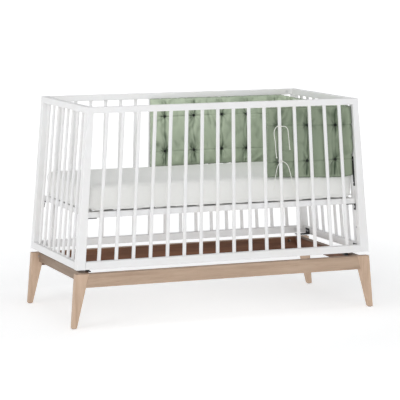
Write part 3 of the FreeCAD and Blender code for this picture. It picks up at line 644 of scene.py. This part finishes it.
# %% Covered buttons
def button_dome(radius=0.0058, height=0.0028):
    """A domed button that points up the Z axis, with its back at the origin."""
    bpy.ops.object.select_all(action="DESELECT")
    bpy.ops.mesh.primitive_cylinder_add(vertices=20, radius=radius, depth=height,
                                        location=(0, 0, height / 2))
    dome = bpy.context.object
    bpy.ops.object.transform_apply(location=True, rotation=False, scale=False)
    bpy.ops.object.mode_set(mode="EDIT")
    net = bmesh.from_edit_mesh(dome.data)
    bpy.ops.mesh.select_all(action="DESELECT")
    for face in net.faces:
        face.select = face.normal.z > 0.9
    bmesh.update_edit_mesh(dome.data)
    for width, rise in ((0.0012, 0.0007), (0.0016, 0.0004), (0.0018, 0.0001)):
        bpy.ops.mesh.inset(thickness=width, depth=rise)
    bpy.ops.object.mode_set(mode="OBJECT")
    apply_modifier(dome, "BEVEL", width=0.0005, segments=2, limit_method="ANGLE")
    return dome


pattern = button_dome()
buttons = []
SEAT = 0.0040                    # how far from the pad's middle a button sits
for u, z in TUFTS:
    behind_end_slats = FRONT_RUN + ARC < u < FRONT_RUN + ARC + END_RUN
    for side in (1,) if behind_end_slats else (-1, 1):
        seat = worn(u, -side * SEAT, z)
        out = (worn(u, -side * (SEAT + 0.001), z) - seat).normalized()
        copy = bpy.data.objects.new("button", pattern.data.copy())
        bpy.context.scene.collection.objects.link(copy)
        facing = out.to_track_quat("Z", "Y").to_matrix().to_4x4()
        copy.data.transform(Matrix.Translation(seat) @ facing)
        buttons.append(copy)
bpy.data.objects.remove(pattern)
count = len(buttons)
covered = joined("covered_buttons", buttons)
for polygon in covered.data.polygons:
    polygon.use_smooth = True
stands_for(covered, "crib", "button_fabric", "tuft_buttons")
print("buttons:", count, "of", len(covered.data.polygons), "faces in all")

# %% [markdown]
# ## Finishes
# Every finish is a small net of nodes that reads Object coordinates, so the pattern is fixed
# in metres: a thread is a millimetre wide on every piece. A noise that is stretched along
# one axis gives grain, crossed waves give a weave, and fine bumps break up the gloss.

# %% A helper for finishes
def finish(name, roughness, **sockets):
    """A new material, its node tree and its shader, with plain values set on the shader."""
    material = bpy.data.materials.new(name)
    material.use_nodes = True
    shader = material.node_tree.nodes["Principled BSDF"]
    shader.inputs["Roughness"].default_value = roughness
    for key, value in sockets.items():
        shader.inputs[key.replace("_", " ")].default_value = value
    return material, material.node_tree, shader


def add(tree, kind, inputs=(), **settings):
    """One node, with its settings, and its inputs given as values or as other nodes' sockets."""
    node = tree.nodes.new("ShaderNode" + kind)
    for key, value in settings.items():
        setattr(node, key, value)
    for key, value in dict(inputs).items():
        if isinstance(value, bpy.types.NodeSocket):
            tree.links.new(value, node.inputs[key])
        else:
            node.inputs[key].default_value = value
    return node


def place_of(tree, scale=(1, 1, 1), turned=(0, 0, 0), moved=(0, 0, 0)):
    """The point's place in metres, scaled, turned and moved."""
    here = add(tree, "TexCoord").outputs["Object"]
    inputs = {"Vector": here, "Scale": scale, "Rotation": turned, "Location": moved}
    return add(tree, "Mapping", inputs).outputs[0]


def speckle(tree, place, scale, detail, **more):
    """A noise between 0 and 1. more holds the node's other inputs."""
    inputs = {"Vector": place, "Scale": scale, "Detail": detail, **more}
    return add(tree, "TexNoise", inputs).outputs[0]


def blend_colours(tree, factor, first, second, how="MIX"):
    inputs = {0: factor, 6: first, 7: second}
    return add(tree, "Mix", inputs, data_type="RGBA", blend_type=how).outputs[2]


def ramp(tree, value, *stops):
    """A colour for each level of a value: stops are (level, colour)."""
    node = add(tree, "ValToRGB", {"Fac": value})
    stairs = node.color_ramp.elements
    while len(stairs) < len(stops):
        stairs.new(0.5)
    for stair, (level, colour) in zip(stairs, stops):
        stair.position = level
        stair.color = (*colour, 1.0) if len(colour) == 3 else colour
    return node.outputs[0]


def bump(tree, shader, height, distance, strength=1.0):
    node = add(tree, "Bump", {"Height": height, "Distance": distance, "Strength": strength})
    tree.links.new(node.outputs[0], shader.inputs["Normal"])


def grey(tree, value, low_value, high_value):
    """A value between 0 and 1 stretched to another range."""
    inputs = {"Value": value, "To Min": low_value, "To Max": high_value}
    return add(tree, "MapRange", inputs).outputs[0]


print("helpers for finishes are ready")

# %% [markdown]
# The crib's body is beech under white satin lacquer. Lacquer is never quite even: it is a
# touch warmer where it is thin, its gloss varies over a few centimetres, and the surface has
# the faint ripple of sprayed paint, with the longest pores of the wood just showing.

# %% White lacquer and white board
def painted_white(name, colour, roughness):
    material, tree, shader = finish(name, roughness, Coat_Weight=0.12, Coat_Roughness=0.25)
    cloudy = speckle(tree, place_of(tree), 9.0, 3.0)
    thin = tuple(c * k for c, k in zip(colour, (0.985, 0.975, 0.955)))
    tree.links.new(ramp(tree, cloudy, (0.35, colour), (0.7, thin)), shader.inputs["Base Color"])
    uneven = grey(tree, cloudy, roughness - 0.06, roughness + 0.08)
    tree.links.new(uneven, shader.inputs["Roughness"])
    ripple = speckle(tree, place_of(tree), 420.0, 2.0)
    pores = speckle(tree, place_of(tree, (30, 30, 3)), 26.0, 4.0)
    mixed = add(tree, "Math", {0: ripple, 1: pores}, operation="ADD").outputs[0]
    bump(tree, shader, mixed, 0.00006)
    return material


white_lacquer = painted_white("white_satin_lacquer", (0.83, 0.83, 0.835), 0.38)
white_board = painted_white("white_foil_board", (0.80, 0.80, 0.80), 0.45)
print("made", white_lacquer.name, "and", white_board.name)

# %% [markdown]
# The leg frame is whitewashed oak: pale brown, with straight grain, darker pores a few
# millimetres long, and white pigment left in the hollows. A tree grows along each part, so
# the grain follows the part: up the legs, with their splay, and along the rails. The rails'
# inner faces are painted dark red-brown as painted shade for the shadow inside the frame,
# and the end rails are painted at half brightness as painted shade for the shade under the
# body.

# %% Whitewashed oak
# Multiplies the oak's colour: 0.83 makes the front and back rails darker than the legs, and 0.50 on
# the end rails is painted shade for the shade under the body.
def darker_and_painted_shade(tree, colour, depth):
    return blend_colours(tree, 1.0, colour, (depth, depth, depth, 1), how="MULTIPLY")


def painted_shade_on_inner_faces(tree, washed, bands, axis, limit):
    """Painted shade: the faces turned into the frame are painted dark red-brown for the shadow
    there.
    """
    here = add(tree, "SeparateXYZ", {0: place_of(tree)})
    across = add(tree, "Math", {0: here.outputs[axis]}, operation="ABSOLUTE").outputs[0]
    inside = add(tree, "Math", {0: across, 1: limit}, operation="LESS_THAN").outputs[0]
    # Painted shade: a dark red-brown for the shadow on the rails' inner faces.
    curve_holder_and_painted_shade = ramp(tree, bands, (0.3, (0.080, 0.034, 0.018)), (0.7, (0.185, 0.082, 0.044)))
    return blend_colours(tree, inside, washed, curve_holder_and_painted_shade)


INSIDE_SIDES = (1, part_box("base_rail_back")[0][1] + 0.0006)
INSIDE_ENDS = (0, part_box("base_rail_right")[0][0] + 0.0080)


def whitewashed_oak(name, along, lean, seed, depth=1.0, inside=None):
    """Oak with its grain along X, Y or Z. lean turns the grain about Y, in radians."""
    material, tree, shader = finish(name, 0.55, Specular_IOR_Level=0.3)
    stretch = {"X": (1, 14, 14), "Y": (14, 1, 14), "Z": (14, 14, 1)}[along]
    fine = {"X": (1, 30, 30), "Y": (30, 1, 30), "Z": (30, 30, 1)}[along]
    turned, moved = (0, lean, 0), (seed * 1.7, seed * 0.9, seed * 2.3)
    long_grain = place_of(tree, stretch, turned, moved)
    bands = speckle(tree, long_grain, 3.2, 7.0, Roughness=0.62, Distortion=0.35)
    pores = speckle(tree, place_of(tree, fine, turned, moved), 17.0, 3.0, Roughness=0.7)
    wood = ramp(tree, bands, (0.28, (0.40, 0.255, 0.165)), (0.46, (0.53, 0.365, 0.25)),
                (0.62, (0.60, 0.425, 0.30)), (0.80, (0.66, 0.49, 0.36)))
    dark = ramp(tree, pores, (0.56, (0, 0, 0)), (0.70, (1, 1, 1)))
    marked = blend_colours(tree, grey(tree, dark, 0.0, 0.42), wood, (0.27, 0.165, 0.10, 1))
    pale = ramp(tree, pores, (0.20, (1, 1, 1)), (0.40, (0, 0, 0)))
    washed = blend_colours(tree, grey(tree, pale, 0.14, 0.50), marked, (0.72, 0.62, 0.54, 1))
    colour = darker_and_painted_shade(tree, washed, depth)
    if inside:
        colour = painted_shade_on_inner_faces(tree, colour, bands, *inside)
    tree.links.new(colour, shader.inputs["Base Color"])
    tree.links.new(grey(tree, bands, 0.62, 0.48), shader.inputs["Roughness"])
    bump(tree, shader, pores, 0.00025, 0.7)
    return material


LEG_SPLAY = math.atan(LEAN + 0.05)
# The end rails take half brightness: painted shade for the shade under the body.
oak = {"base_rail_front": whitewashed_oak("oak_rail_front", "X", 0, 1, 0.83, INSIDE_SIDES),
       "base_rail_back": whitewashed_oak("oak_rail_back", "X", 0, 2, 0.83, INSIDE_SIDES),
       "base_rail_left": whitewashed_oak("oak_rail_left", "Y", 0, 3, 0.50, INSIDE_ENDS),
       "base_rail_right": whitewashed_oak("oak_rail_right", "Y", 0, 4, 0.50, INSIDE_ENDS)}
for i, name in enumerate(("leg_front_left", "leg_back_left", "leg_front_right", "leg_back_right")):
    side = 1 if "left" in name else -1
    oak[name] = whitewashed_oak("oak_" + name, "Z", side * LEG_SPLAY, 5 + i)
print("made", len(oak), "oak finishes, one for each part")

# %% Steel, beech and plastic
def brushed(name, colour, roughness, metallic=1.0):
    """Bare metal with turning or drawing marks."""
    material, tree, shader = finish(name, roughness, Metallic=metallic)
    marks = speckle(tree, place_of(tree, (1, 1, 22)), 160.0, 3.0)
    tint = tuple(c * 0.82 for c in colour)
    tree.links.new(ramp(tree, marks, (0.3, tint), (0.7, colour)), shader.inputs["Base Color"])
    tree.links.new(grey(tree, marks, roughness - 0.08, roughness + 0.12), shader.inputs["Roughness"])
    bump(tree, shader, marks, 0.00003)
    return material


def powder_coated(name, colour):
    """Black powder coat: a fine pebbled skin with a low sheen."""
    material, tree, shader = finish(name, 0.5)
    pebbles = add(tree, "TexVoronoi", {"Vector": place_of(tree), "Scale": 1100.0}).outputs[0]
    dust = speckle(tree, place_of(tree), 30.0, 4.0)
    paler = tuple(c * 1.8 for c in colour)
    tree.links.new(ramp(tree, dust, (0.4, colour), (0.75, paler)), shader.inputs["Base Color"])
    bump(tree, shader, pebbles, 0.00008, 0.6)
    return material


def felt_or_plastic(name, colour, scale, roughness):
    material, tree, shader = finish(name, roughness)
    grain = speckle(tree, place_of(tree), scale, 5.0)
    darker = tuple(c * 0.8 for c in colour)
    tree.links.new(ramp(tree, grain, (0.35, darker), (0.7, colour)), shader.inputs["Base Color"])
    bump(tree, shader, grain, 0.0001)
    return material


zinc = brushed("bright_zinc", (0.62, 0.62, 0.63), 0.34)
white_cap = felt_or_plastic("white_cap", (0.80, 0.80, 0.80), 500.0, 0.5)
black_steel = powder_coated("black_powder_coat", (0.016, 0.016, 0.017))
glide = felt_or_plastic("grey_glide", (0.30, 0.30, 0.30), 900.0, 0.6)
beech = whitewashed_oak("turned_beech", "Z", 0, 20)
print("made the fittings' finishes")

# %% [markdown]
# Cotton has a plain weave: threads over and under each other, about one a millimetre. Waves
# along the three axes, added together, give its little hills on every side of a piece, so no
# cloth needs unwrapping.

# %% Cloths
def woven(name, colour, shade, thread, roughness, mottle=6.0, sheen=0.25,
          painted_fold_shade=None, painted_inner_light=None):
    """Plain woven cotton. thread is a thread's width in metres. The pad's cloth also takes a dark
    colour in its folds, along its edges and by the post, as painted shade, and its inner face
    is painted lighter by a colour that multiplies it, as painted light."""
    material, tree, shader = finish(name, roughness, Sheen_Weight=sheen, Sheen_Roughness=0.5)
    here = place_of(tree)
    settings = {"Vector": here, "Scale": math.pi / (20 * thread), "Distortion": 1.2, "Detail": 2.0,
                "Detail Scale": 1.5}
    waves = [add(tree, "TexWave", settings, bands_direction=axis).outputs[1] for axis in "XYZ"]
    pair = add(tree, "Math", {0: waves[0], 1: waves[2]}, operation="ADD").outputs[0]
    weave = add(tree, "Math", {0: pair, 1: waves[1]}, operation="ADD").outputs[0]
    cloudy = speckle(tree, here, mottle, 5.0, Roughness=0.6)
    base = ramp(tree, cloudy, (0.3, shade), (0.7, colour))
    slub = speckle(tree, place_of(tree, (1, 1, 9)), 170.0, 2.0)
    darker = (*(c * 0.80 for c in shade), 1)
    tinted = blend_colours(tree, grey(tree, slub, 0.0, 0.30), base, darker)
    if painted_fold_shade:
        marks = add(tree, "VertexColor", layer_name="fold").outputs[0]
        parts = add(tree, "SeparateColor", {0: marks}).outputs
        # Painted light: green makes the face turned into the crib lighter.
        tinted = blend_colours(tree, parts[1], tinted, painted_inner_light, how="MULTIPLY")
        # Painted shade: red darkens the folds, the edges and the cloth by the post.
        tinted = blend_colours(tree, parts[0], tinted, painted_fold_shade)
    tree.links.new(tinted, shader.inputs["Base Color"])
    fuzz = speckle(tree, here, 1500.0, 2.0)
    height = add(tree, "Math", {0: weave, 1: fuzz}, operation="ADD").outputs[0]
    bump(tree, shader, height, thread * 0.16, 0.6)
    return material


# The dark green is painted shade for the pad's folds, edges and post; the inner face is painted
# about 1.6 times lighter as painted light.
sage_cotton = woven("sage_cotton", (0.310, 0.365, 0.262), (0.240, 0.292, 0.206), 0.0009, 0.85,
                    painted_fold_shade=(0.060, 0.092, 0.052, 1), painted_inner_light=(1.62, 1.58, 1.66, 1))
dark_cotton = woven("dark_green_cotton", (0.012, 0.017, 0.012), (0.008, 0.012, 0.008), 0.0006, 0.8,
                    sheen=0.1)
cover_cotton = woven("off_white_cotton", (0.90, 0.90, 0.875), (0.855, 0.855, 0.83), 0.0008, 0.9,
                     mottle=4.0)
tie_cotton = woven("tie_cotton", (0.90, 0.90, 0.85), (0.80, 0.80, 0.75), 0.0005, 0.85,
                   mottle=60.0)
print("made the cloths")

# %% Each part gets its finish
def dress(piece, material):
    piece.data.materials.clear()
    piece.data.materials.append(material)


BY_SLOT = {"white_lacquer": white_lacquer, "white_board": white_board, "black_steel": black_steel,
           "zinc_steel": zinc, "white_plastic": white_cap, "glide_plastic": glide, "beech": beech,
           "mattress_cover": cover_cotton, "bumper_fabric": sage_cotton,
           "button_fabric": dark_cotton, "tie_cord": tie_cotton, "oak": oak["base_rail_front"]}
for part in frame["record"]["subparts"]:
    node = part["node"]
    for piece_slot in NODES[node].material_slots:
        piece_slot.link = "OBJECT"
        piece_slot.material = oak.get(node, BY_SLOT[part["material_slot"]])
for name in ("overhand_knots", "turns_round_slat"):
    dress(bpy.data.objects[name], tie_cotton)
for piece in (*ties.values(), *end_knots.values()):
    dress(piece, tie_cotton)
dress(block, cover_cotton)
dress(bpy.data.objects["mattress_seams"], cover_cotton)
dress(pad, sage_cotton)
dress(covered, dark_cotton)
print("dressed", len(NODES), "nodes and the soft pieces")

# %% [markdown]
# ## Studio
# A pale floor that curves up on every side gives a background with no line. The paper glows
# a little, as a lit sweep does. A light in front is small enough to draw a thin shadow beside
# each slat, a larger one on the left fills them, one overhead lights the tops, and a long low
# one inside lights the back panel and the pad.

# %% Floor and lights
bpy.ops.object.select_all(action="DESELECT")
bpy.ops.mesh.primitive_plane_add(size=24.0, location=(0, 0, 0))
floor = bpy.context.object
floor.name = "studio_floor"
alone(floor)
bpy.ops.object.mode_set(mode="EDIT")
bpy.ops.mesh.select_all(action="SELECT")
bpy.ops.mesh.subdivide(number_cuts=1)
net = bmesh.from_edit_mesh(floor.data)
for edge in net.edges:
    edge.select_set(edge.is_boundary)
bmesh.update_edit_mesh(floor.data)
bpy.ops.mesh.extrude_edges_move(TRANSFORM_OT_translate={"value": (0, 0, 3.4)})
bpy.ops.object.mode_set(mode="OBJECT")
apply_modifier(floor, "BEVEL", width=3.0, segments=12, limit_method="ANGLE")
for polygon in floor.data.polygons:
    polygon.use_smooth = True
paper, tree, shader = finish("studio_paper", 0.9, Emission_Strength=1.0)
specks = speckle(tree, place_of(tree), 2.0, 2.0)
tree.links.new(ramp(tree, specks, (0.3, (0.80, 0.80, 0.80)), (0.7, (0.82, 0.82, 0.82))),
               shader.inputs["Base Color"])
distance = add(tree, "VectorMath", {0: place_of(tree)}, operation="LENGTH").outputs["Value"]
far = add(tree, "Math", {0: distance, 1: 0.25}, operation="MULTIPLY").outputs[0]
tree.links.new(ramp(tree, far, (0.25, (0.48, 0.48, 0.48)), (0.85, (0.80, 0.80, 0.80))),
               shader.inputs["Emission Color"])
dress(floor, paper)


def soft_light(name, place, aim, size, power, height=None):
    data = bpy.data.lights.new(name, "AREA")
    data.shape, data.size, data.energy = ("RECTANGLE" if height else "DISK"), size, power
    data.size_y = height or size
    light = bpy.data.objects.new(name, data)
    bpy.context.scene.collection.objects.link(light)
    light.location = place
    light.rotation_euler = (Vector(aim) - Vector(place)).to_track_quat("-Z", "Y").to_euler()


soft_light("left", (-5.5, -3.2, 3.2), (0, 0, 0.5), 2.0, 50)
soft_light("front", (-2.6, -6.0, 3.0), (0, 0, 0.5), 1.0, 50)
soft_light("top", (-0.5, -1.0, 5.0), (0, 0, 0.5), 3.0, 36)
soft_light("inside", (0.1, -0.20, 1.62), (0.1, 0.32, 0.80), 1.2, 3.2, 0.3)
world = bpy.data.worlds.new("studio")
world.use_nodes = True
world.node_tree.nodes["Background"].inputs[0].default_value = (0.95, 0.97, 1.0, 1)
world.node_tree.nodes["Background"].inputs[1].default_value = 0.27
bpy.context.scene.world = world
print("studio is lit")
